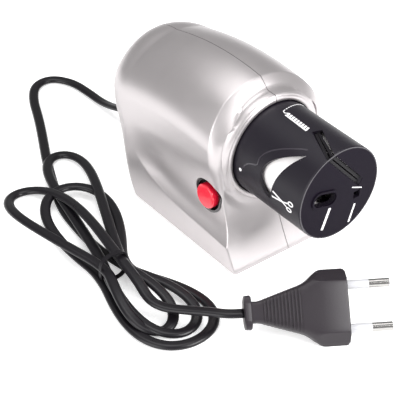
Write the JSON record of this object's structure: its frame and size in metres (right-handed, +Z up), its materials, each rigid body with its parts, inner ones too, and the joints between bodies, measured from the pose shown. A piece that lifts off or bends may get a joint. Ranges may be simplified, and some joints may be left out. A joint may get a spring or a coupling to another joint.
{
  "type": "electric knife sharpener",
  "caption": "Tabletop electric sharpener: silver two-half housing, black cylindrical grinding head with knife slot and scissor window, red push button, tied mains lead with flat plug.",
  "frame": {"origin": "middle of the underside of the outline, on the surface that it stands on and in the middle plane of the housing", "axes": "+Z up, the grinding head points to -Y, the button is on the -X flank"},
  "size_m": [0.1271, 0.2586, 0.0824],
  "materials": {
    "silver_paint": "satin metallic",
    "black_head": "satin",
    "black_plastic": "satin",
    "red_cap": "gloss",
    "white_stone": "fine grit",
    "steel": "bright",
    "bronze": "sintered",
    "copper": "drawn",
    "carbon": "matt",
    "magnet": "matt",
    "board": "matt",
    "foot_rubber": "matt",
    "cord_black": "satin",
    "plug_black": "satin",
    "pin_metal": "bright",
    "white_plastic": "matt"
  },
  "bodies": {
    "root": {"housing_button_side": "silver_paint", "housing_plain_side": "silver_paint", "head_socket": "black_plastic", "motor_can": "steel", "front_bush": "bronze", "rear_bush": "bronze", "motor_end_cap": "white_plastic", "carbon_brushes": "carbon", "motor_magnets": "magnet", "button_bezel": "black_plastic", "button_spring": "steel", "switch_body": "black_plastic", "switch_contacts": "copper", "circuit_board": "board", "filter_capacitor": "black_plastic", "rectifier_diodes": "black_plastic", "housing_screws": "steel", "rubber_feet": "foot_rubber", "strain_relief": "cord_black", "cord_clamp": "black_plastic", "cord_lead": "cord_black", "cord_hank": "cord_black", "cord_tail": "cord_black", "hank_tie": "black_plastic", "plug_body": "plug_black", "plug_pins": "pin_metal", "plug_pin_sleeves": "white_plastic"},
    "button": {"button_cap": "red_cap"},
    "rotor": {"grinding_wheel": "white_stone", "wheel_washers": "steel", "wheel_nut": "steel", "motor_shaft": "steel", "armature_core": "steel", "armature_coils": "copper", "commutator": "copper", "cooling_fan": "black_plastic"},
    "head": {"head_cap": "black_head", "knife_guide": "black_plastic"}
  },
  "joints": [
    {"name": "button_press", "type": "slide", "parent": "root", "child": "button", "axis": [1, 0, 0], "range_m": [0, 0.0018], "stiffness_N_per_m": 400, "deforming": ["button_spring"]},
    {"name": "rotor_spin", "type": "hinge", "parent": "root", "child": "rotor", "pos_m": [0, 0, 0.0503], "axis": [0, 1, 0], "continuous": true},
    {"name": "head_pull", "type": "slide", "parent": "root", "child": "head", "axis": [0, -1, 0], "range_m": [0, 0.048]}
  ]
}
